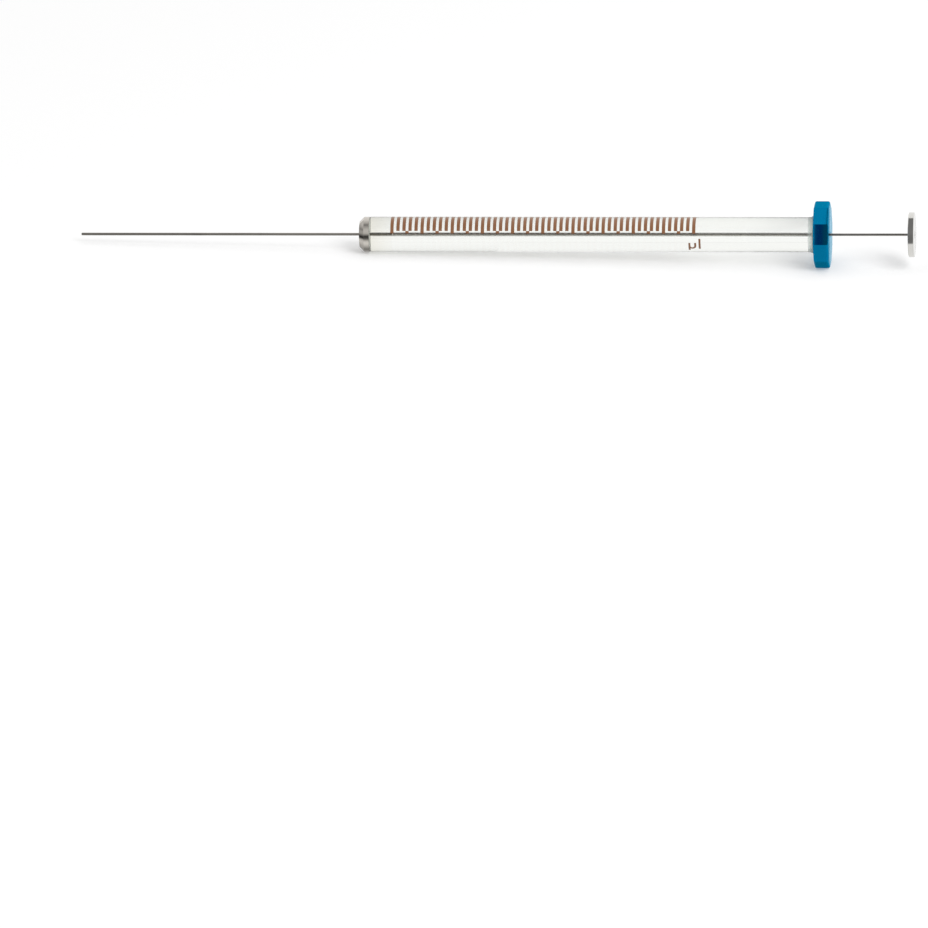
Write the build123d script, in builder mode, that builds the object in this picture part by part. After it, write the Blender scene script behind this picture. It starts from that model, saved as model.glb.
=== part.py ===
"""Ten microlitre glass syringe with a cemented needle, a ten-sided finger flange and a wire plunger.

Millimetres. The syringe's axis is X, with the needle towards -X and the plunger's button towards +X.
The origin is on the axis, in the plane of the flange's needle-side face. The syringe lies on one flat
of its flange, so +Z is up. Angles round the barrel are counted from -Y, its front, towards +Z.
"""

import os
from math import cos, radians, sin

from build123d import *

# Driving dimensions ---------------------------------------------------------------------------------

scale_length = 54.1  # zero mark to the ten microlitre mark
bore_diameter = 0.485  # ten microlitres in the length of the scale
barrel_diameter = 6.27
zero_offset = 4.15  # rear rim of the hub to the zero mark
grip_length = 21.5  # ten microlitre mark to the flange

needle_length = 50.0  # in front of the hub
needle_diameter = 0.47
needle_lumen = 0.11
needle_deburr = 0.05

front_grind = 0.685  # depth that the glass is ground down to its spigot in the hub
rear_grind = 0.185  # and to its seat in the flange
cement_film = 0.05  # between the ground glass and the metal round it
cement_bed = 0.1  # behind and in front of the glass in the hub
cement_recess = 0.25  # depth of the cement's rim below the outside of the hub

hub_length = 1.85  # the hub is flush with the glass behind it
hub_chamfer = 0.85
hub_front_wall = 0.55
hub_rim_break = 0.08
hub_needle_clearance = 0.015

flange_across_corners = 11.97
flange_sides = 10
flange_thickness = 2.74
flange_edge_break = 0.22
flange_corner_round = 0.18
flange_web = 0.8  # left between the glass's end and the plunger's side
flange_mouth_depth = 0.6  # wider mouth in front of the glass's seat, full of cement
flange_wire_hole = 0.9
cement_rise = 0.59  # height of the cement over the glass at the flange
cement_reach = 1.05  # length of glass that the cement climbs

plunger_clearance = 0.0125  # radial, between the wire and the bore
plunger_gap = 14.1  # flange to button with the plunger pushed home
tip_gap = 0.05  # needle's inner end to the plunger's tip
wire_tip_break = 0.03

button_diameter = 8.06
button_thickness = 1.04
button_edge_break = 0.12
button_wire_clearance = 0.01
solder_diameter = 1.3
solder_depth = 0.35

divisions = 50  # strokes of the upper row, one every 0.2 microlitre
half_steps = 20  # feet of the lower row, one every half microlitre
mark_width = 0.6
mark_height = 0.02  # fired enamel stands this proud of the glass
mark_low_angle = 29.0
mark_high_angle = 110.0
foot_low_angle = 21.0

# Places along the axis and radii --------------------------------------------------------------------

flange_front = 0.0
flange_rear = flange_front + flange_thickness
last_mark = flange_front - grip_length
zero_mark = last_mark - scale_length
hub_rear = zero_mark - zero_offset
hub_front = hub_rear - hub_length
needle_tip = hub_front - needle_length
needle_end = zero_mark - tip_gap

shoulder = hub_rear + cement_bed
spigot_front = hub_front + hub_front_wall + cement_bed
glass_rear = flange_rear - flange_web - cement_film
cement_start = flange_front - cement_reach
seat_floor = flange_rear - flange_web
mouth_floor = flange_front + flange_mouth_depth

button_front = flange_rear + plunger_gap
button_rear = button_front + button_thickness

barrel_radius = barrel_diameter / 2
bore_radius = bore_diameter / 2
needle_radius = needle_diameter / 2
spigot_radius = barrel_radius - front_grind
hub_radius = barrel_radius
hub_seat_radius = spigot_radius + cement_film
hub_hole_radius = needle_radius + hub_needle_clearance
ground_radius = barrel_radius - rear_grind
flange_seat_radius = ground_radius + cement_film
flange_mouth_radius = barrel_radius + cement_rise
wire_radius = bore_radius - plunger_clearance
button_radius = button_diameter / 2
button_hole_radius = wire_radius + button_wire_clearance
solder_radius = solder_diameter / 2

scale_middle = (zero_mark + last_mark) / 2
half_profile = Plane.XZ  # sketch x runs along the axis and sketch y is the radius


def turned(profile_points):
    """A ring or rod turned about the axis from the closed outline of its upper half."""
    with BuildPart() as piece:
        with BuildSketch(half_profile):
            with BuildLine():
                Polyline(*profile_points, close=True)
            make_face()
        revolve(axis=Axis.X)
    return piece


def enamel_arcs(count, pitch, low_angle, high_angle):
    """Equally spaced enamel strokes along the scale, each an arc round the glass between two angles."""
    outward = (0, -cos(radians(low_angle)), sin(radians(low_angle)))
    across = (0, -sin(radians(low_angle)), -cos(radians(low_angle)))
    start = (scale_middle, barrel_radius * outward[1], barrel_radius * outward[2])
    with BuildPart() as arcs:
        with BuildSketch(Plane(origin=start, x_dir=(1, 0, 0), z_dir=across)):
            with GridLocations(pitch, mark_height, count, 1):
                Rectangle(mark_width, mark_height, align=(Align.CENTER, Align.MIN))
        revolve(axis=Axis((0, 0, 0), (-1, 0, 0)), revolution_arc=high_angle - low_angle)
    return arcs


def needle_piece():
    """Steel tube from the blunt tip, through the hub, to just short of the zero mark inside the bore."""
    return turned([
        (needle_tip, needle_lumen / 2),
        (needle_tip, needle_radius - needle_deburr),
        (needle_tip + needle_deburr, needle_radius),
        (needle_end, needle_radius),
        (needle_end, needle_lumen / 2),
    ])


def hub_piece():
    """Plated cap over the ground front end of the glass, bevelled towards the needle."""
    return turned([
        (hub_front, hub_hole_radius),
        (hub_front, hub_radius - hub_chamfer),
        (hub_front + hub_chamfer, hub_radius),
        (hub_rear - hub_rim_break, hub_radius),
        (hub_rear, hub_radius - hub_rim_break),
        (hub_rear, hub_seat_radius),
        (hub_front + hub_front_wall, hub_seat_radius),
        (hub_front + hub_front_wall, hub_hole_radius),
    ])


def hub_cement_piece():
    """Cement that beds the glass in its cap: a disc in front, a film round the spigot and a rim behind."""
    return turned([
        (hub_front + hub_front_wall, needle_radius),
        (hub_front + hub_front_wall, hub_seat_radius),
        (hub_rear, hub_seat_radius),
        (hub_rear, hub_radius - cement_recess),
        (shoulder, hub_radius - cement_recess),
        (shoulder, spigot_radius),
        (spigot_front, spigot_radius),
        (spigot_front, needle_radius),
    ])


def barrel_piece():
    """Thick-walled glass with its fine bore, ground to a spigot at each end."""
    return turned([
        (spigot_front, bore_radius),
        (spigot_front, spigot_radius),
        (shoulder, spigot_radius),
        (shoulder, barrel_radius),
        (cement_start, barrel_radius),
        (cement_start, ground_radius),
        (glass_rear, ground_radius),
        (glass_rear, bore_radius),
    ])


def flange_piece():
    """Ten-sided finger flange, with a wide mouth and a seat for the glass and a hole for the wire."""
    with BuildPart() as flange:
        with BuildSketch(Plane.YZ.offset(flange_front)):
            RegularPolygon(flange_across_corners / 2, flange_sides)
        extrude(amount=flange_thickness)
        chamfer(flange.faces().filter_by(Axis.X).edges(), flange_edge_break)
        fillet(flange.edges().filter_by(Axis.X), flange_corner_round)
        with BuildSketch(Plane.YZ.offset(flange_front)):
            Circle(flange_mouth_radius)
        extrude(amount=flange_mouth_depth, mode=Mode.SUBTRACT)
        with BuildSketch(Plane.YZ.offset(flange_front)):
            Circle(flange_seat_radius)
        extrude(amount=flange_thickness - flange_web, mode=Mode.SUBTRACT)
        with BuildSketch(Plane.YZ.offset(flange_front)):
            Circle(flange_wire_hole / 2)
        extrude(amount=flange_thickness, mode=Mode.SUBTRACT)
    return flange


def flange_cement_piece():
    """Cement round the ground end of the glass, drawn out on the barrel in a hollow fillet."""
    fillet_start = (cement_start, barrel_radius)
    fillet_end = (flange_front, flange_mouth_radius)
    with BuildPart() as cement:
        with BuildSketch(half_profile):
            with BuildLine():
                TangentArc(fillet_start, fillet_end, tangent=(1, 0))
                Polyline(
                    fillet_end,
                    (mouth_floor, flange_mouth_radius),
                    (mouth_floor, flange_seat_radius),
                    (seat_floor, flange_seat_radius),
                    (seat_floor, flange_wire_hole / 2),
                    (glass_rear, flange_wire_hole / 2),
                    (glass_rear, ground_radius),
                    (cement_start, ground_radius),
                    fillet_start,
                )
            make_face()
        revolve(axis=Axis.X)
    return cement


def plunger_wire_piece():
    """Straight wire that fills the bore, from its tip at the zero mark to the back of the button."""
    return turned([
        (zero_mark, 0),
        (zero_mark, wire_radius - wire_tip_break),
        (zero_mark + wire_tip_break, wire_radius),
        (button_rear, wire_radius),
        (button_rear, 0),
    ])


def button_piece():
    """Flat round button with broken edges, drilled for the wire and countersunk behind for the solder."""
    with BuildPart() as button:
        with BuildSketch(Plane.YZ.offset(button_front)):
            Circle(button_radius)
        extrude(amount=button_thickness)
        chamfer(button.edges(), button_edge_break)
        with BuildSketch(Plane.YZ.offset(button_front)):
            Circle(button_hole_radius)
        extrude(amount=button_thickness, mode=Mode.SUBTRACT)
        with BuildSketch(half_profile):
            with BuildLine():
                Polyline(
                    (button_rear - solder_depth, 0),
                    (button_rear, solder_radius),
                    (button_rear, 0),
                    close=True,
                )
            make_face()
        revolve(axis=Axis.X, mode=Mode.SUBTRACT)
    return button


def solder_piece():
    """Cone of solder in the button's countersink, which holds the end of the wire."""
    slope = solder_radius / solder_depth
    return turned([
        (button_rear - solder_depth + wire_radius / slope, wire_radius),
        (button_rear, solder_radius),
        (button_rear, wire_radius),
    ])


pieces = {
    "needle": needle_piece(),
    "needle_hub": hub_piece(),
    "hub_cement": hub_cement_piece(),
    "glass_barrel": barrel_piece(),
    "division_marks": enamel_arcs(
        divisions + 1, scale_length / divisions, mark_low_angle, mark_high_angle
    ),
    "half_step_marks": enamel_arcs(
        half_steps + 1, scale_length / half_steps, foot_low_angle, mark_low_angle
    ),
    "flange": flange_piece(),
    "flange_cement": flange_cement_piece(),
    "plunger_wire": plunger_wire_piece(),
    "plunger_button": button_piece(),
    "button_solder": solder_piece(),
}

os.makedirs("parts", exist_ok=True)
for label, piece in pieces.items():
    piece.part.label = label
    export_step(piece.part, f"parts/{label}.step")
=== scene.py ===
"""Looks of the ten microlitre syringe: fine pieces over the frame, glass, enamel, metal and light.

Metres, in the frame's own axes: X runs along the syringe from the needle to the button, Z is up.
Angles round the barrel are counted from -Y, its front, towards +Z, as in the part's source.
"""

import math

import bmesh
import bpy
from mathutils import Matrix, Vector


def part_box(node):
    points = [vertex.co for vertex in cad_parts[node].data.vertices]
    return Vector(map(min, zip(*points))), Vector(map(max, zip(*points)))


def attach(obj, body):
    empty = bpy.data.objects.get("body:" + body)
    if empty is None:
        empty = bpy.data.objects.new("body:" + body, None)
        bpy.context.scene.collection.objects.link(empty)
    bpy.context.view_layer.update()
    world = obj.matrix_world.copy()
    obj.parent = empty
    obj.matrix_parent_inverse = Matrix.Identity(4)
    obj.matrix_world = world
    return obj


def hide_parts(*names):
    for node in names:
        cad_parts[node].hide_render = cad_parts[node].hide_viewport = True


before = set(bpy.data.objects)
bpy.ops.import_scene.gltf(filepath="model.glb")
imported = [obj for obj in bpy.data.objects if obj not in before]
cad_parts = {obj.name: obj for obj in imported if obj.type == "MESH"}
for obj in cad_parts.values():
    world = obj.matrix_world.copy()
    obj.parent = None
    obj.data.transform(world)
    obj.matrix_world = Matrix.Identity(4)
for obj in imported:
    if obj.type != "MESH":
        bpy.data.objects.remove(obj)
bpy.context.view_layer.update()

MM = 0.001

# Sizes read from the frame ------------------------------------------------------------------------


def ends(node):
    """The first and last place of a node along the axis."""
    low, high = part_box(node)
    return low.x, high.x


def radius_of(node):
    """The largest distance of a round node from the axis."""
    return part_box(node)[1].y


NEEDLE_TIP, NEEDLE_END = ends("needle")
HUB_FRONT, HUB_REAR = ends("needle_hub")
SPIGOT_FRONT, GLASS_REAR = ends("glass_barrel")
CEMENT_START, SEAT_FLOOR = ends("flange_cement")
FLANGE_FRONT, FLANGE_REAR = ends("flange")
ZERO_MARK, BUTTON_REAR = ends("plunger_wire")
BUTTON_FRONT = ends("plunger_button")[0]
SOLDER_FRONT = ends("button_solder")[0]
SHOULDER = ends("hub_cement")[1]
MARKS_START, MARKS_END = ends("division_marks")

BARREL_RADIUS = radius_of("glass_barrel")
NEEDLE_RADIUS = radius_of("needle")
WIRE_RADIUS = radius_of("plunger_wire")
BUTTON_RADIUS = radius_of("plunger_button")
SOLDER_RADIUS = radius_of("button_solder")
MOUTH_RADIUS = radius_of("flange_cement")
FLANGE_HALF_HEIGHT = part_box("flange")[1].z

# Sizes that the frame's boxes don't give, as in the part's source ---------------------------------

BORE_RADIUS = 0.2425 * MM
LUMEN_RADIUS = 0.055 * MM
SPIGOT_RADIUS = BARREL_RADIUS - 0.685 * MM
GROUND_RADIUS = BARREL_RADIUS - 0.185 * MM
CEMENT_FILM = 0.05 * MM
CEMENT_RECESS = 0.25 * MM
HUB_CHAMFER = 0.85 * MM
HUB_WALL = 0.55 * MM
HUB_RIM_BREAK = 0.08 * MM
HUB_NEEDLE_CLEARANCE = 0.015 * MM
FLANGE_SIDES = 10
FLANGE_EDGE_BREAK = 0.22 * MM
FLANGE_CORNER_ROUND = 0.18 * MM
FLANGE_HOLE_RADIUS = 0.45 * MM
MOUTH_DEPTH = 0.6 * MM
BUTTON_EDGE_BREAK = 0.12 * MM
BUTTON_WIRE_CLEARANCE = 0.01 * MM
WIRE_TIP_BREAK = 0.03 * MM
DIVISIONS = 50
HALF_STEPS = 20
MARK_WIDTH = 0.6 * MM
MARK_HEIGHT = 0.02 * MM
MARK_LOW_ANGLE = 29.0
MARK_HIGH_ANGLE = 110.0
FOOT_LOW_ANGLE = 21.0
SKIN = 0.0015 * MM  # keeps faces that touch from lying in one plane

# Softened edges that are finer than those of the part's source ------------------------------------

NEEDLE_MOUTH_ROUND = 0.045 * MM
GLASS_EDGE_ROUND = 0.04 * MM
FLANGE_RIDGE_ROUND = 0.05 * MM
FLANGE_HOLE_BREAK = 0.1 * MM
SOLDER_SAG = 0.03 * MM
FILLET_CURVE = 0.93  # how much of a quarter circle the fillet of cement takes

# Mesh helpers -------------------------------------------------------------------------------------

SHARP_ANGLE = math.radians(24)  # edges that turn by more are drawn crisp
LEAST_TURN = math.radians(20)  # corners that turn by less aren't rounded
SIDE_SHARE = 0.45  # of a side that the rounding of one corner may take
TINY = 1e-9  # metres


def finish_mesh(name, verts, faces, material, body, node):
    """A smooth-shaded piece with crisp edges, riding on its body in place of a node, if it has one."""
    mesh = bpy.data.meshes.new(name)
    mesh.from_pydata(verts, [], faces)
    work = bmesh.new()
    work.from_mesh(mesh)
    bmesh.ops.remove_doubles(work, verts=work.verts, dist=TINY)
    bmesh.ops.recalc_face_normals(work, faces=work.faces)
    for face in work.faces:
        face.smooth = True
    for edge in work.edges:
        edge.smooth = edge.is_manifold and edge.calc_face_angle() < SHARP_ANGLE
    work.to_mesh(mesh)
    work.free()
    mesh.materials.append(material)
    piece = bpy.data.objects.new(name, mesh)
    bpy.context.scene.collection.objects.link(piece)
    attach(piece, body)
    if node:
        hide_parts(node)


def rounded(profile, radius, steps=4):
    """The profile with each corner that turns by more than a little rounded off, radius at most."""
    points = [Vector(p) for p in profile]
    result = []
    for i, corner in enumerate(points):
        before = points[i - 1] - corner
        after = points[(i + 1) % len(points)] - corner
        turn = math.pi - before.angle(after)
        if turn < LEAST_TURN:
            result.append(corner)
            continue
        most = min(before.length, after.length) * SIDE_SHARE
        reach = min(radius * math.tan(turn / 2), most)
        start = corner + before.normalized() * reach
        end = corner + after.normalized() * reach
        for k in range(steps + 1):
            t = k / steps
            result.append(start * (1 - t) ** 2 + corner * 2 * t * (1 - t) + end * t * t)
    return [tuple(p) for p in result]


def turned(name, profile, segments, material, body, node):
    """A closed profile of (x, radius) points turned about the axis."""
    verts, rings = [], []
    for x, r in profile:
        if r < TINY:
            rings.append([len(verts)] * segments)
            verts.append((x, 0, 0))
            continue
        rings.append(list(range(len(verts), len(verts) + segments)))
        for k in range(segments):
            angle = math.tau * k / segments
            verts.append((x, -r * math.cos(angle), r * math.sin(angle)))
    faces = []
    for i, ring in enumerate(rings):
        following = rings[(i + 1) % len(rings)]
        for k in range(segments):
            j = (k + 1) % segments
            corners = [ring[k], ring[j], following[j], following[k]]
            corners = [c for n, c in enumerate(corners) if c not in corners[:n]]
            if len(corners) > 2:
                faces.append(corners)
    finish_mesh(name, verts, faces, material, body, node)


# Material helpers ---------------------------------------------------------------------------------

NOISE_LOW, NOISE_HIGH = 0.3, 0.7  # noise mostly stays between these


def mixed(tree, factor, first, second):
    """A shader that goes from the first to the second while the factor goes from 0 to 1."""
    mix = tree.nodes.new("ShaderNodeMixShader")
    tree.links.new(factor, mix.inputs["Fac"])
    tree.links.new(first, mix.inputs[1])
    tree.links.new(second, mix.inputs[2])
    return mix.outputs["Shader"]


class Paint:
    """A material with a Principled shader and short calls for the nodes that drive it."""

    def __init__(self, name, **values):
        self.material = bpy.data.materials.new(name)
        self.material.use_nodes = True
        self.tree = self.material.node_tree
        self.shader = self.tree.nodes["Principled BSDF"]
        self.output = self.tree.nodes["Material Output"]
        for socket, value in values.items():
            self.shader.inputs[socket.replace("_", " ")].default_value = value

    def node(self, kind, **settings):
        made = self.tree.nodes.new(kind)
        for key, value in settings.items():
            setattr(made, key, value)
        return made

    def link(self, source, target):
        self.tree.links.new(source, target)

    def noise(self, scale, stretch=(1, 1, 1), detail=3.0):
        """Noise in the piece's own space: scale in waves a metre, stretch multiplies each axis."""
        place = self.node("ShaderNodeTexCoord")
        mapping = self.node("ShaderNodeMapping")
        mapping.inputs["Scale"].default_value = stretch
        noise = self.node("ShaderNodeTexNoise")
        noise.inputs["Scale"].default_value = scale
        noise.inputs["Detail"].default_value = detail
        self.link(place.outputs["Object"], mapping.inputs["Vector"])
        self.link(mapping.outputs["Vector"], noise.inputs["Vector"])
        return noise.outputs["Fac"]

    def along(self):
        """The place along the syringe, in metres."""
        place = self.node("ShaderNodeTexCoord")
        split = self.node("ShaderNodeSeparateXYZ")
        self.link(place.outputs["Object"], split.inputs["Vector"])
        return split.outputs["X"]

    def remap(self, value, low, high):
        """The noise spread between low and high."""
        ranged = self.node("ShaderNodeMapRange")
        ranged.inputs["From Min"].default_value = NOISE_LOW
        ranged.inputs["From Max"].default_value = NOISE_HIGH
        ranged.inputs["To Min"].default_value = low
        ranged.inputs["To Max"].default_value = high
        self.link(value, ranged.inputs["Value"])
        return ranged.outputs["Result"]

    def blend_colours(self, value, first, second):
        mix = self.node("ShaderNodeMix", data_type="RGBA")
        mix.inputs["A"].default_value = (*first, 1)
        mix.inputs["B"].default_value = (*second, 1)
        self.link(value, mix.inputs["Factor"])
        return mix.outputs["Result"]

    def bump(self, value, height, strength=1.0):
        """Bumps of that height, in metres."""
        bump = self.node("ShaderNodeBump")
        bump.inputs["Distance"].default_value = height
        bump.inputs["Strength"].default_value = strength
        self.link(value, bump.inputs["Height"])
        self.link(bump.outputs["Normal"], self.shader.inputs["Normal"])

    def drive(self, socket, value):
        self.link(value, self.shader.inputs[socket])

    def let_lamps_through(self, tint):
        """Shadow rays pass with the tint, so clear things cast a pale soft shadow."""
        path = self.node("ShaderNodeLightPath")
        clear = self.node("ShaderNodeBsdfTransparent")
        clear.inputs["Color"].default_value = (*tint, 1)
        shadow = path.outputs["Is Shadow Ray"]
        both = mixed(self.tree, shadow, self.shader.outputs["BSDF"], clear.outputs["BSDF"])
        self.link(both, self.output.inputs["Surface"])


# Colours, linear: the darker and the lighter tone of each material.
NEEDLE_STEEL = [(0.35, 0.33, 0.3), (0.465, 0.435, 0.39)]
WIRE_STEEL = [(0.294, 0.28, 0.26), (0.38, 0.357, 0.33)]
# Painted shade: the needle's darker colour where it runs on inside the glass.
SHADED_STEEL = (0.17, 0.155, 0.13)
HUB_NICKEL = [(0.68, 0.64, 0.58), (0.78, 0.74, 0.68)]
BUTTON_NICKEL = [(0.68, 0.67, 0.64), (0.76, 0.75, 0.72)]
BLUE_DYE = [(0.0006, 0.19, 0.39), (0.0008, 0.22, 0.43)]
BLUE_SHEEN = (0.32, 0.67, 0.77, 1)
# The first glass colour is painted light: a warm tint by the hub that stands in for brownish light
# refracted into the glass.
GLASS_WARM_LIGHT_BY_HUB, GLASS_TINT = (0.87, 0.855, 0.78), (0.955, 0.965, 0.935)
GLASS_SHADOW = (0.78, 0.79, 0.76)
ENAMEL = [(0.19, 0.07, 0.022), (0.29, 0.12, 0.04)]
CEMENT = [(0.88, 0.93, 0.9), (0.95, 0.97, 0.95)]
CEMENT_SHADOW = (0.75, 0.77, 0.76)
SOLDER = [(0.52, 0.51, 0.49), (0.68, 0.67, 0.65)]
WARM_LIGHT_REACH = 4.5 * MM  # length of glass behind the hub over which the painted warm light fades


def drawn_steel(name, tones, painted_shade_from=None):
    """Drawn stainless steel: long fine streaks along the wire; past the given place a darker colour,
    painted shade.
    """
    paint = Paint(name, Metallic=1.0, Roughness=0.3)
    streaks = paint.noise(9000, (0.02, 1, 1), 4)
    colour = paint.blend_colours(streaks, *tones)
    # Painted shade: darker steel past the given place along the axis.
    if painted_shade_from is not None:
        inner = paint.node("ShaderNodeMath", operation="GREATER_THAN")
        inner.inputs[1].default_value = painted_shade_from
        paint.link(paint.along(), inner.inputs[0])
        shaded_colour = paint.node("ShaderNodeMix", data_type="RGBA")
        shaded_colour.inputs["B"].default_value = (*SHADED_STEEL, 1)
        paint.link(inner.outputs["Value"], shaded_colour.inputs["Factor"])
        paint.link(colour, shaded_colour.inputs["A"])
        colour = shaded_colour.outputs["Result"]
    paint.drive("Base Color", colour)
    paint.drive("Roughness", paint.remap(paint.noise(4000, (0.05, 1, 1)), 0.22, 0.38))
    paint.bump(streaks, 0.002 * MM, 0.5)
    return paint.material


def plated_nickel(name, tones, roughness):
    """Bright nickel over turned brass: fine rings from the lathe and a little uneven shine."""
    paint = Paint(name, Metallic=1.0, Roughness=roughness)
    rings = paint.noise(16000, (1, 0.03, 0.03), 3)
    paint.drive("Base Color", paint.blend_colours(paint.noise(700), *tones))
    paint.drive("Roughness", paint.remap(rings, roughness * 0.75, roughness * 1.35))
    paint.bump(rings, 0.0015 * MM, 0.4)
    return paint.material


def blue_anodised():
    """Satin dyed aluminium: even blue with a faint machined grain."""
    paint = Paint("blue_anodised", Metallic=1.0, Roughness=0.24)
    grain = paint.noise(9000, (1, 0.08, 0.08), 4)
    paint.shader.inputs["Specular Tint"].default_value = BLUE_SHEEN
    paint.drive("Base Color", paint.blend_colours(paint.noise(500), *BLUE_DYE))
    paint.drive("Roughness", paint.remap(grain, 0.2, 0.28))
    paint.bump(grain, 0.003 * MM, 0.35)
    return paint.material


def clear_glass():
    """Borosilicate tube with a faint green cast and a very slight ripple; by the hub, painted warm
    light.
    """
    paint = Paint("glass", Roughness=0.0, IOR=1.474, Transmission_Weight=1.0)
    # Painted warm light: the colour runs from the warm tint at the hub's rear to the glass's own tint.
    spread = paint.node("ShaderNodeMapRange")
    spread.inputs["From Min"].default_value = HUB_REAR
    spread.inputs["From Max"].default_value = HUB_REAR + WARM_LIGHT_REACH
    paint.link(paint.along(), spread.inputs["Value"])
    tint = paint.blend_colours(spread.outputs["Result"], GLASS_WARM_LIGHT_BY_HUB, GLASS_TINT)
    paint.drive("Base Color", tint)
    paint.bump(paint.noise(160, (0.15, 1, 1), 1), 0.001 * MM, 0.3)
    paint.let_lamps_through(GLASS_SHADOW)
    return paint.material


def fired_enamel():
    """Reddish brown ceramic ink, a little uneven in colour and shine."""
    paint = Paint("enamel", Roughness=0.35, Coat_Weight=0.7, Coat_Roughness=0.12)
    tone = paint.noise(5000, detail=4)
    paint.drive("Base Color", paint.blend_colours(tone, *ENAMEL))
    paint.drive("Roughness", paint.remap(tone, 0.3, 0.5))
    paint.bump(tone, 0.004 * MM, 0.5)
    return paint.material


def clear_cement(name, clearness):
    """Whitish epoxy: faintly cloudy, with a smooth skin."""
    paint = Paint(name, Roughness=0.25, IOR=1.15, Transmission_Weight=clearness)
    cloud = paint.noise(2500, detail=3)
    paint.drive("Base Color", paint.blend_colours(cloud, *CEMENT))
    paint.drive("Roughness", paint.remap(cloud, 0.25, 0.4))
    paint.bump(cloud, 0.004 * MM, 0.3)
    paint.let_lamps_through(CEMENT_SHADOW)
    return paint.material


def solder_metal():
    """Cooled solder: dull and slightly rippled."""
    paint = Paint("solder", Metallic=1.0, Roughness=0.35)
    ripple = paint.noise(3500, detail=2)
    paint.drive("Base Color", paint.blend_colours(ripple, *SOLDER))
    paint.drive("Roughness", paint.remap(ripple, 0.28, 0.45))
    paint.bump(ripple, 0.02 * MM, 0.5)
    return paint.material


# Pieces -------------------------------------------------------------------------------------------

FINE = 128  # segments round the larger turned pieces
THIN = 40  # and round the needle and the wire
SMALL = 64  # and round the solder


def make_needle(material):
    """Thin tube with a rounded, deburred mouth."""
    profile = [
        (NEEDLE_TIP, LUMEN_RADIUS),
        (NEEDLE_TIP, NEEDLE_RADIUS),
        (NEEDLE_END, NEEDLE_RADIUS),
        (NEEDLE_END, LUMEN_RADIUS),
    ]
    softened = rounded(profile, NEEDLE_MOUTH_ROUND)
    turned("needle_tube", softened, THIN, material, "syringe", "needle")


def make_hub(material):
    """Bevelled cap with softly broken edges."""
    hole = NEEDLE_RADIUS + HUB_NEEDLE_CLEARANCE
    seat = SPIGOT_RADIUS + CEMENT_FILM
    profile = [
        (HUB_FRONT, hole),
        (HUB_FRONT, BARREL_RADIUS - HUB_CHAMFER),
        (HUB_FRONT + HUB_CHAMFER, BARREL_RADIUS),
        (HUB_REAR, BARREL_RADIUS),
        (HUB_REAR, seat),
        (HUB_FRONT + HUB_WALL, seat),
        (HUB_FRONT + HUB_WALL, hole),
    ]
    softened = rounded(profile, HUB_RIM_BREAK)
    turned("hub_cap", softened, FINE, material, "syringe", "needle_hub")


def make_hub_cement(material):
    """The bed, the film and the recessed rim of cement in the cap."""
    seat = SPIGOT_RADIUS + CEMENT_FILM
    profile = [
        (HUB_FRONT + HUB_WALL + SKIN, NEEDLE_RADIUS + SKIN),
        (HUB_FRONT + HUB_WALL + SKIN, seat - SKIN),
        (HUB_REAR + SKIN, seat - SKIN),
        (HUB_REAR + SKIN, BARREL_RADIUS - CEMENT_RECESS),
        (SHOULDER - SKIN, BARREL_RADIUS - CEMENT_RECESS),
        (SHOULDER - SKIN, SPIGOT_RADIUS + SKIN),
        (SPIGOT_FRONT - SKIN, SPIGOT_RADIUS + SKIN),
        (SPIGOT_FRONT - SKIN, NEEDLE_RADIUS + SKIN),
    ]
    turned("hub_cement_bed", profile, FINE, material, "syringe", "hub_cement")


def make_barrel(material):
    """Glass tube with its fine bore and a ground spigot at each end."""
    profile = [
        (SPIGOT_FRONT, SPIGOT_RADIUS),
        (SHOULDER, SPIGOT_RADIUS),
        (SHOULDER, BARREL_RADIUS),
        (CEMENT_START, BARREL_RADIUS),
        (CEMENT_START, GROUND_RADIUS),
        (GLASS_REAR, GROUND_RADIUS),
        (GLASS_REAR, BORE_RADIUS),
        (SPIGOT_FRONT, BORE_RADIUS),
    ]
    softened = rounded(profile, GLASS_EDGE_ROUND)
    turned("barrel_glass", softened, FINE, material, "syringe", "glass_barrel")


# A stroke's section: a share of its width, across it, and a share of its height.
PILLOW = [(-0.5, 0.0), (-0.46, 0.75), (-0.3, 1.0), (0.3, 1.0), (0.46, 0.75), (0.5, 0.0)]
STROKE_STEP = 2.5  # degrees round the glass that one facet takes
LEAST_STROKE_STEPS = 6


def enamel_strokes(name, count, low_angle, high_angle, material, node):
    """Strokes of enamel round the glass, each a low pillow."""
    first = MARKS_START + MARK_WIDTH / 2
    pitch = (MARKS_END - MARKS_START - MARK_WIDTH) / count
    steps = max(LEAST_STROKE_STEPS, round((high_angle - low_angle) / STROKE_STEP))
    verts, faces = [], []
    for number in range(count + 1):
        middle = first + number * pitch
        start = len(verts)
        for k in range(steps + 1):
            angle = math.radians(low_angle + (high_angle - low_angle) * k / steps)
            for across, height in PILLOW:
                r = BARREL_RADIUS + SKIN + (MARK_HEIGHT - SKIN) * height
                x = middle + across * MARK_WIDTH
                verts.append((x, -r * math.cos(angle), r * math.sin(angle)))
        sides = len(PILLOW)
        for k in range(steps):
            for j in range(sides):
                a = start + k * sides + j
                b = start + k * sides + (j + 1) % sides
                faces.append([a, b, b + sides, a + sides])
        faces.append([start + j for j in range(sides)])
        faces.append([start + steps * sides + j for j in range(sides)])
    finish_mesh(name, verts, faces, material, "syringe", node)


def corner_angles():
    """Angles round the flange in degrees, close together at its rounded corners."""
    half = 180 / FLANGE_SIDES
    flat = [-12, -8, -4, 0, 4, 8, 12]
    near = [half - before_corner for before_corner in (3.0, 0.55, 0.37, 0.18)]
    ordered = sorted([-half] + [-a for a in near] + flat + near)
    return [i * 2 * half + a for i in range(FLANGE_SIDES) for a in ordered]


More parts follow.
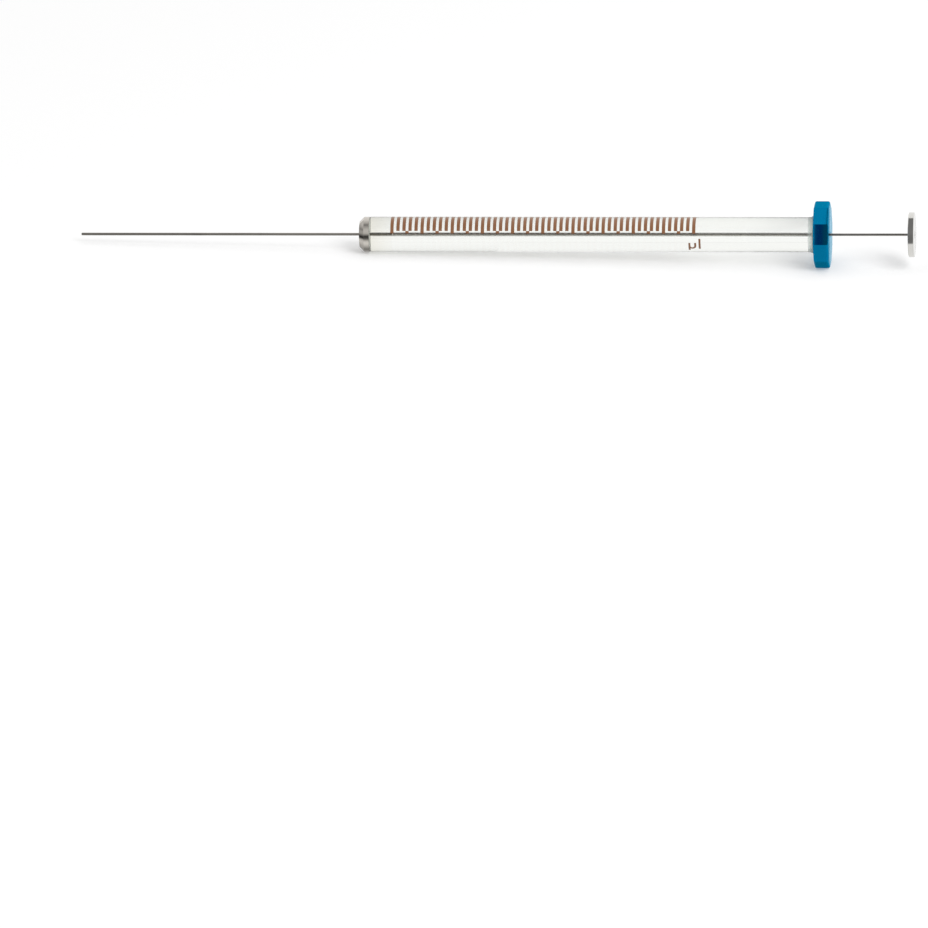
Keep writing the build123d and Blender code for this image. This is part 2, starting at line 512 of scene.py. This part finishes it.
def make_flange(material):
    """Ten-sided nut with softened edges, a stepped mouth for the glass and a hole for the wire."""
    angles = corner_angles()
    half = math.radians(180 / FLANGE_SIDES)
    seat = GROUND_RADIUS + CEMENT_FILM
    soft = FLANGE_EDGE_BREAK

    def side_distance(inset, degrees):
        """Distance from the axis to a side moved in by the inset, with its corners rounded."""
        off = (math.radians(degrees - 90) + half) % (2 * half) - half
        flat = (FLANGE_HALF_HEIGHT - inset) / math.cos(off)
        corner = (FLANGE_HALF_HEIGHT - inset) / math.cos(half)
        return min(flat, corner - FLANGE_CORNER_ROUND * (1 / math.cos(half) - 1))

    ridge = FLANGE_RIDGE_ROUND
    bevel = [  # how far in from an end, and how far in from a side
        (0.0, soft + ridge),
        (ridge * 0.3, soft + ridge * 0.2),
        (soft * 0.5, soft * 0.45),
        (soft + ridge * 0.2, ridge * 0.3),
        (soft + ridge, 0.0),
    ]
    outside = [(FLANGE_FRONT + x, inset) for x, inset in bevel]
    outside += [(FLANGE_REAR - x, inset) for x, inset in reversed(bevel)]
    inside = [
        (FLANGE_REAR, FLANGE_HOLE_RADIUS + FLANGE_HOLE_BREAK),
        (FLANGE_REAR - FLANGE_HOLE_BREAK, FLANGE_HOLE_RADIUS),
        (SEAT_FLOOR, FLANGE_HOLE_RADIUS),
        (SEAT_FLOOR, seat),
        (FLANGE_FRONT + MOUTH_DEPTH, seat),
        (FLANGE_FRONT + MOUTH_DEPTH, MOUTH_RADIUS),
        (FLANGE_FRONT, MOUTH_RADIUS),
    ]
    rings = [[(x, side_distance(inset, a), a) for a in angles] for x, inset in outside]
    rings += [[(x, r, a) for a in angles] for x, r in inside]
    verts = []
    for ring in rings:
        for x, r, degrees in ring:
            angle = math.radians(degrees)
            verts.append((x, -r * math.cos(angle), r * math.sin(angle)))
    count = len(angles)
    faces = []
    for i in range(len(rings)):
        j = (i + 1) % len(rings)
        for k in range(count):
            m = (k + 1) % count
            faces.append([i * count + k, i * count + m, j * count + m, j * count + k])
    finish_mesh("finger_flange", verts, faces, material, "syringe", "flange")


def make_flange_cement(material):
    """Cement that fills the mouth and is drawn out along the glass in a hollow fillet."""
    seat = GROUND_RADIUS + CEMENT_FILM
    rise = MOUTH_RADIUS - BARREL_RADIUS
    steps = 12

    def lift(t):
        return 1 - math.sqrt(1 - (FILLET_CURVE * t) ** 2)

    fillet = []
    for k in range(steps + 1):
        t = k / steps
        x = CEMENT_START + (FLANGE_FRONT - CEMENT_START) * t
        fillet.append((x, BARREL_RADIUS + rise * lift(t) / lift(1)))
    profile = fillet + [
        (FLANGE_FRONT + MOUTH_DEPTH - SKIN, MOUTH_RADIUS - SKIN),
        (FLANGE_FRONT + MOUTH_DEPTH - SKIN, seat - SKIN),
        (SEAT_FLOOR - SKIN, seat - SKIN),
        (SEAT_FLOOR - SKIN, FLANGE_HOLE_RADIUS),
        (GLASS_REAR + SKIN, FLANGE_HOLE_RADIUS),
        (GLASS_REAR + SKIN, GROUND_RADIUS + SKIN),
        (CEMENT_START + SKIN, GROUND_RADIUS + SKIN),
    ]
    turned("flange_cement_fillet", profile, FINE, material, "syringe", "flange_cement")


def make_wire(material):
    """Ground wire with a slightly rounded tip."""
    profile = [
        (ZERO_MARK, 0.0),
        (ZERO_MARK, WIRE_RADIUS),
        (BUTTON_REAR, WIRE_RADIUS),
        (BUTTON_REAR, 0.0),
    ]
    softened = rounded(profile, WIRE_TIP_BREAK)
    turned("plunger_rod", softened, THIN, material, "plunger", "plunger_wire")


def make_button(material):
    """Turned disc with softened rims, drilled for the wire and countersunk behind."""
    hole = WIRE_RADIUS + BUTTON_WIRE_CLEARANCE
    profile = [
        (BUTTON_FRONT, hole),
        (BUTTON_FRONT, BUTTON_RADIUS),
        (BUTTON_REAR, BUTTON_RADIUS),
        (BUTTON_REAR, SOLDER_RADIUS),
        (SOLDER_FRONT, hole),
    ]
    softened = rounded(profile, BUTTON_EDGE_BREAK, 6)
    turned("button_disc", softened, FINE, material, "plunger", "plunger_button")


def make_solder(material):
    """Solder in the countersink, dished between the wire and the rim."""
    profile = [
        (SOLDER_FRONT + SKIN, WIRE_RADIUS + SKIN),
        (BUTTON_REAR, SOLDER_RADIUS - SKIN),
        (BUTTON_REAR - SOLDER_SAG, SOLDER_RADIUS * 0.8),
        (BUTTON_REAR - SOLDER_SAG * 1.2, SOLDER_RADIUS * 0.6),
        (BUTTON_REAR - SOLDER_SAG * 0.5, WIRE_RADIUS + SKIN),
    ]
    turned("solder_cone", profile, SMALL, material, "plunger", "button_solder")


UNIT_STROKE = 0.36  # millimetres
UNIT_ANGLE = -17.0  # degrees, of the middle of the sign


def letter_strokes():
    """Centre lines, in millimetres, and heights of the strokes of a plain sign of microlitres."""
    base, middle, top, tail = -1.0, 0.35, 1.15, -1.38
    left, right, stick = -0.8, 0.24, 1.02
    radius = (right - left) / 2
    low = base + radius + UNIT_STROKE / 2
    steps, overlap = 8, 0.05
    down = [(left, middle + (low - middle) * k / steps) for k in range(steps)]
    bowl = []
    for k in range(2 * steps + 1):
        angle = math.pi + math.pi * k / (2 * steps)
        bowl.append((left + radius + radius * math.cos(angle), low + radius * math.sin(angle)))
    up = [(right, low + (middle - low) * k / steps) for k in range(1, steps + 1)]
    foot = [(left, low - overlap + (tail - low + overlap) * k / steps) for k in range(steps + 1)]
    stem = [(stick, base + (top - base) * k / (2 * steps)) for k in range(2 * steps + 1)]
    return [(down + bowl + up, 1.0), (foot, 0.9), (stem, 1.0)]


def make_unit_mark(material):
    """The unit, a plain printed sign of microlitres, wrapped on the glass at the full mark."""
    last_mark = MARKS_END - MARK_WIDTH / 2
    verts, faces = [], []

    def wrapped(x, y, height):
        angle = math.radians(UNIT_ANGLE) + y * MM / BARREL_RADIUS
        r = BARREL_RADIUS + SKIN + (MARK_HEIGHT - SKIN) * height
        return (last_mark + x * MM, -r * math.cos(angle), r * math.sin(angle))

    for line, height in letter_strokes():
        start = len(verts)
        for k, (x, y) in enumerate(line):
            before, after = line[max(k - 1, 0)], line[min(k + 1, len(line) - 1)]
            along = Vector((after[0] - before[0], after[1] - before[1])).normalized()
            side = Vector((-along.y, along.x)) * UNIT_STROKE / 2
            for reach, level in ((1, 0), (0.9, height), (-0.9, height), (-1, 0)):
                verts.append(wrapped(x + side.x * reach, y + side.y * reach, level))
        for k in range(len(line) - 1):
            for j in range(4):
                first, second = start + k * 4 + j, start + k * 4 + (j + 1) % 4
                faces.append([first, second, second + 4, first + 4])
        last = start + (len(line) - 1) * 4
        faces.append([start + j for j in range(4)])
        faces.append([last + j for j in range(4)])
    finish_mesh("unit_mark", verts, faces, material, "syringe", None)


# Stage --------------------------------------------------------------------------------------------

FLOOR_HALF = 2.0  # metres
FLOOR_GAP = 0.01 * MM  # between the floor and what stands on it
FLOOR_GREY = (0.8, 0.8, 0.8, 1)
FLOOR_LIFT = 0.24  # what the floor adds to itself where the camera sees it
WHITE = (1, 1, 1, 1)
WORLD_LEVEL = 0.6  # ambient light on the syringe
WORLD_IN_METAL = 0.41  # the world as metal mirrors it
TENT_RADIUS = 30 * MM
CARD_STEPS = 72


def bare_tree(owner, output_kind):
    """The owner's node tree, emptied, and its new output."""
    owner.use_nodes = True
    tree = owner.node_tree
    tree.nodes.clear()
    return tree, tree.nodes.new(output_kind)


def make_floor():
    """Pale ground under the flange's lowest edge and the hub's rim, on which the syringe lies."""
    flange_foot = Vector((FLANGE_FRONT + FLANGE_EDGE_BREAK, 0, -FLANGE_HALF_HEIGHT))
    hub_foot = Vector((HUB_FRONT + HUB_CHAMFER, 0, -BARREL_RADIUS))
    along = (flange_foot - hub_foot).normalized()
    across = Vector((0, 1, 0))
    up = along.cross(across)
    half = FLOOR_HALF
    corners = [(-half, -half), (half, -half), (half, half), (-half, half)]
    mesh = bpy.data.meshes.new("floor")
    verts = [flange_foot + along * a + across * b - up * FLOOR_GAP for a, b in corners]
    mesh.from_pydata(verts, [], [[0, 1, 2, 3]])
    floor = bpy.data.objects.new("floor", mesh)
    bpy.context.scene.collection.objects.link(floor)
    floor.visible_glossy = False  # the cards stand in for it in reflections

    material = bpy.data.materials.new("floor")
    tree, output = bare_tree(material, "ShaderNodeOutputMaterial")
    matt = tree.nodes.new("ShaderNodeBsdfDiffuse")
    matt.inputs["Color"].default_value = FLOOR_GREY
    glow = tree.nodes.new("ShaderNodeEmission")
    glow.inputs["Strength"].default_value = FLOOR_LIFT
    both = tree.nodes.new("ShaderNodeAddShader")
    tree.links.new(matt.outputs["BSDF"], both.inputs[0])
    tree.links.new(glow.outputs["Emission"], both.inputs[1])
    diffuse = tree.nodes.new("ShaderNodeLightPath").outputs["Is Diffuse Ray"]
    shown = mixed(tree, diffuse, both.outputs["Shader"], matt.outputs["BSDF"])
    tree.links.new(shown, output.inputs["Surface"])
    mesh.materials.append(material)


def make_world():
    """Even ambient light; what is seen past the floor, or through glass, is white."""
    world = bpy.data.worlds.new("studio")
    bpy.context.scene.world = world
    tree, output = bare_tree(world, "ShaderNodeOutputWorld")

    def background(strength):
        made = tree.nodes.new("ShaderNodeBackground")
        made.inputs["Color"].default_value = WHITE
        made.inputs["Strength"].default_value = strength
        return made.outputs["Background"]

    path = tree.nodes.new("ShaderNodeLightPath")
    mirrored = tree.nodes.new("ShaderNodeMath")
    mirrored.operation = "GREATER_THAN"
    mirrored.inputs[1].default_value = 0.5
    tree.links.new(path.outputs["Glossy Depth"], mirrored.inputs[0])
    seen = mixed(tree, mirrored.outputs["Value"], background(1.0), background(WORLD_IN_METAL))
    lit = mixed(tree, path.outputs["Is Diffuse Ray"], seen, background(WORLD_LEVEL))
    tree.links.new(lit, output.inputs["Surface"])


def tone(level):
    """A grey level, or a colour as it is, with alpha."""
    return (*level, 1) if isinstance(level, tuple) else (level, level, level, 1)


def graded(tree, value, bands):
    """A tone that runs through the (value, level) pairs."""
    first, last = bands[0][0], bands[-1][0]
    spread = tree.nodes.new("ShaderNodeMapRange")
    spread.inputs["From Min"].default_value = first
    spread.inputs["From Max"].default_value = last
    tree.links.new(value, spread.inputs["Value"])
    ramp = tree.nodes.new("ShaderNodeValToRGB")
    tree.links.new(spread.outputs["Result"], ramp.inputs["Fac"])
    stops = ramp.color_ramp.elements
    while len(stops) > 1:
        stops.remove(stops[-1])
    stops[0].position = 0.0
    stops[0].color = tone(bands[0][1])
    for place, level in bands[1:]:
        stops.new((place - first) / (last - first)).color = tone(level)
    return ramp.outputs["Color"]


def around_axis(tree, vector, bands):
    """A tone by the vector's angle round the axis, from -Y towards +Z."""
    split = tree.nodes.new("ShaderNodeSeparateXYZ")
    tree.links.new(vector, split.inputs["Vector"])
    forward = tree.nodes.new("ShaderNodeMath")
    forward.operation = "MULTIPLY"
    forward.inputs[1].default_value = -1
    tree.links.new(split.outputs["Y"], forward.inputs[0])
    angle = tree.nodes.new("ShaderNodeMath")
    angle.operation = "ARCTAN2"
    tree.links.new(split.outputs["Z"], angle.inputs[0])
    tree.links.new(forward.outputs["Value"], angle.inputs[1])
    return graded(tree, angle.outputs["Value"], [(math.radians(a), level) for a, level in bands])


def mirror_only(card, level_from):
    """A studio card that is seen in reflections and nowhere else."""
    material = bpy.data.materials.new(card.name)
    tree, output = bare_tree(material, "ShaderNodeOutputMaterial")
    glow = tree.nodes.new("ShaderNodeEmission")
    place = tree.nodes.new("ShaderNodeNewGeometry")
    tree.links.new(level_from(tree, place.outputs["Position"]), glow.inputs["Color"])
    tree.links.new(glow.outputs["Emission"], output.inputs["Surface"])
    card.data.materials.append(material)
    card.visible_camera = False
    card.visible_diffuse = False
    card.visible_transmission = False
    card.visible_volume_scatter = False
    card.visible_shadow = False
    bpy.context.scene.collection.objects.link(card)


def hoop(name, first, second):
    """A strip between two rings round the axis, each given by its place and radius."""
    verts = []
    for x, r in (first, second):
        for k in range(CARD_STEPS):
            angle = math.tau * k / CARD_STEPS
            verts.append((x, -r * math.cos(angle), r * math.sin(angle)))
    faces = []
    for k in range(CARD_STEPS):
        following = (k + 1) % CARD_STEPS
        faces.append([k, following, CARD_STEPS + following, CARD_STEPS + k])
    mesh = bpy.data.meshes.new(name)
    mesh.from_pydata(verts, [], faces)
    return bpy.data.objects.new(name, mesh)


def make_tent(name, start, end, bands):
    """An open tube of cards round a stretch of the axis, graded by angle."""
    tube = hoop(name, (start, TENT_RADIUS), (end, TENT_RADIUS))
    mirror_only(tube, lambda tree, place: around_axis(tree, place, bands))


def make_ring_card(name, x, inner, outer, level):
    """A flat ring of card round the axis."""

    def plain(tree, place):
        grey = tree.nodes.new("ShaderNodeRGB")
        grey.outputs["Color"].default_value = tone(level)
        return grey.outputs["Color"]

    mirror_only(hoop(name, (x, inner), (x, outer)), plain)


def make_end_card():
    """A card across the axis, ahead of the hub, that its bevel mirrors; graded by height."""
    x, half = HUB_FRONT - TENT_RADIUS, TENT_RADIUS
    mesh = bpy.data.meshes.new("end_card")
    corners = [(x, -half, -half), (x, half, -half), (x, half, half), (x, -half, half)]
    mesh.from_pydata(corners, [], [[0, 1, 2, 3]])

    def level(tree, place):
        split = tree.nodes.new("ShaderNodeSeparateXYZ")
        tree.links.new(place, split.inputs["Vector"])
        return graded(tree, split.outputs["Z"], [(z * MM, value) for z, value in END_CARD_BANDS])

    mirror_only(bpy.data.objects.new("end_card", mesh), level)


# What each stretch of the syringe mirrors, by angle from -Y towards +Z, and its brightness.
NEEDLE_BANDS = [(-180, 0.5), (-60, 0.42), (-20, 0.3), (60, 0.3), (110, 0.5), (180, 0.6)]
HUB_BANDS = [
    (-180, 0.4), (-119, 0.36), (-92, 0.22), (-71, 0.44), (-54, 0.7), (-38, 0.82), (-25, 0.62),
    (-12, 0.15), (3, 0.03), (13, 0.24), (21, 0.52), (32, 0.62), (46, 0.6), (66, 0.4), (79, 0.22),
    (93, 0.5), (108, 0.64), (122, 0.8), (180, 0.9),
]
BARREL_BANDS = [(-180, 0.9), (-60, 0.8), (-20, 0.4), (60, 0.4), (110, 0.9), (180, 1.0)]
BLUE_DARK = (0.07, 0.09, 0.2)
FLANGE_BANDS = [
    (-180, 0.98), (-150, 0.9), (-126, 0.5), (-90, 0.65), (-54, 0.76), (-38, 0.76), (-24, BLUE_DARK),
    (46, BLUE_DARK), (60, 0.65), (74, 0.92), (180, 0.92),
]
FLANGE_BACK_BANDS = [
    (-180, 1.6), (-150, 1.5), (-126, 0.7), (-90, 0.7), (-54, 0.8), (-38, 0.7), (-24, 0.2), (60, 0.2),
    (74, 0.92), (180, 1.3),
]
BUTTON_BANDS = [
    (-180, 0.95), (-60, 0.9), (-30, 0.9), (-23, 0.2), (0, 0.18), (30, 0.22), (60, 0.2), (104, 0.2),
    (111, 1.0), (180, 1.0),
]
# What the hub's bevel mirrors, by height in millimetres.
END_CARD_BANDS = [
    (-30, 0.45), (-16, 0.7), (-11, 0.56), (-8, 0.13), (-5, 0.0), (-1.8, 0.14), (2.6, 0.42),
    (5.5, 0.42), (8.6, 0.26), (13.7, 0.6), (30, 0.8),
]
# Where the tents meet along the axis.
TENTS_START = NEEDLE_TIP - TENT_RADIUS
HUB_TENT_START, HUB_TENT_END = HUB_FRONT - 20 * MM, HUB_REAR + 20 * MM
FLANGE_TENT_START, FLANGE_BACK_START, BUTTON_TENT_START = -12 * MM, 3.5 * MM, 9 * MM
TENTS_END = 100 * MM
TENTS = [
    ("needle_tent", TENTS_START, HUB_TENT_START, NEEDLE_BANDS),
    ("hub_tent", HUB_TENT_START, HUB_TENT_END, HUB_BANDS),
    ("barrel_tent", HUB_TENT_END, FLANGE_TENT_START, BARREL_BANDS),
    ("flange_tent", FLANGE_TENT_START, FLANGE_BACK_START, FLANGE_BANDS),
    ("flange_back_tent", FLANGE_BACK_START, BUTTON_TENT_START, FLANGE_BACK_BANDS),
    ("button_tent", BUTTON_TENT_START, TENTS_END, BUTTON_BANDS),
]
EDGE_CARD_HOLE = 4.5 * MM  # radius, clear of the barrel
EDGE_CARD_LEVEL = 0.85

LAMP_AIM = Vector((-0.03, 0, 0))
LAMP_DISTANCE = 1.2
LAMPS = [  # name, direction it stands in, size in metres, level
    ("overhead", (0.1, 0.25, 1.0), 1.3, 0.16),
    ("right_front", (5.2, -5.0, 6.2), 0.65, 0.48),
]


def make_lamp(name, direction, size, level):
    """A soft square lamp aimed at the syringe; level is what it adds to a white facing surface."""
    data = bpy.data.lights.new(name, "AREA")
    data.shape = "SQUARE"
    data.size = size
    data.energy = level * math.pi * LAMP_DISTANCE * LAMP_DISTANCE * math.pi
    lamp = bpy.data.objects.new(name, data)
    way = Vector(direction).normalized()
    lamp.location = LAMP_AIM + way * LAMP_DISTANCE
    lamp.rotation_mode = "QUATERNION"
    lamp.rotation_quaternion = way.to_track_quat("Z", "Y")
    lamp.visible_camera = False
    lamp.visible_glossy = False
    lamp.visible_transmission = False
    bpy.context.scene.collection.objects.link(lamp)


PICTURE = 928  # pixels a side
CAMERA_AZIMUTH, CAMERA_ELEVATION = math.radians(4.8), math.radians(18.0)
# Metres. A lens long enough for 8 m makes views from behind cut off the farthest piece.
CAMERA_DISTANCE = 6.0
FLANGE_PIXEL = (814.95, 234.65)
HUB_PIXEL = (370.1, 234.25)
LEAST_FOCAL, MOST_FOCAL = 100.0, 100000.0  # pixels
HALVINGS = 60


def make_camera():
    """A long lens over the front, placed by where the flange and the hub stand in the picture."""
    flange_point = Vector((FLANGE_FRONT, 0, 0))
    hub_point = Vector((HUB_REAR, 0, 0))
    back = Vector((
        math.sin(CAMERA_AZIMUTH) * math.cos(CAMERA_ELEVATION),
        -math.cos(CAMERA_AZIMUTH) * math.cos(CAMERA_ELEVATION),
        math.sin(CAMERA_ELEVATION),
    ))
    place = (flange_point + hub_point) / 2 + back * CAMERA_DISTANCE
    to_flange = (flange_point - place).normalized()
    to_hub = (hub_point - place).normalized()
    spread = to_flange.angle(to_hub)

    def ray(pixel, focal):
        return Vector((pixel[0] - PICTURE / 2, PICTURE / 2 - pixel[1], -focal)).normalized()

    low, high = LEAST_FOCAL, MOST_FOCAL
    for _ in range(HALVINGS):
        focal = (low + high) / 2
        if ray(FLANGE_PIXEL, focal).angle(ray(HUB_PIXEL, focal)) > spread:
            low = focal
        else:
            high = focal

    def axes(first, second):
        side = first.cross(second).normalized()
        return Matrix((first, side, first.cross(side))).transposed()

    seen = axes(ray(FLANGE_PIXEL, focal), ray(HUB_PIXEL, focal))
    rotation = axes(to_flange, to_hub) @ seen.transposed()
    data = bpy.data.cameras.new("camera")
    data.sensor_width = 36
    data.lens = focal * data.sensor_width / PICTURE
    data.clip_start = 0.05
    data.clip_end = 20
    camera = bpy.data.objects.new("camera", data)
    camera.matrix_world = Matrix.Translation(place) @ rotation.to_4x4()
    bpy.context.scene.collection.objects.link(camera)
    bpy.context.scene.camera = camera


# Assembly -----------------------------------------------------------------------------------------

enamel = fired_enamel()

# The needle is painted darker past the hub's rear: painted shade inside the glass.
make_needle(drawn_steel("needle_steel", NEEDLE_STEEL, HUB_REAR))
make_hub(plated_nickel("hub_nickel", HUB_NICKEL, 0.07))
make_hub_cement(clear_cement("hub_cement", 0.15))
make_barrel(clear_glass())
enamel_strokes("scale_strokes", DIVISIONS, MARK_LOW_ANGLE, MARK_HIGH_ANGLE, enamel, "division_marks")
enamel_strokes("scale_feet", HALF_STEPS, FOOT_LOW_ANGLE, MARK_LOW_ANGLE, enamel, "half_step_marks")
make_flange(blue_anodised())
make_flange_cement(clear_cement("cement", 0.8))
make_wire(drawn_steel("wire_steel", WIRE_STEEL))
make_button(plated_nickel("button_nickel", BUTTON_NICKEL, 0.1))
make_solder(solder_metal())
make_unit_mark(enamel)

make_floor()
make_world()
for tent in TENTS:
    make_tent(*tent)
make_end_card()
make_ring_card("flange_edge_card", FLANGE_TENT_START, EDGE_CARD_HOLE, TENT_RADIUS, EDGE_CARD_LEVEL)
for lamp_facts in LAMPS:
    make_lamp(*lamp_facts)
make_camera()

view = bpy.context.scene.view_settings
view.view_transform = "Standard"
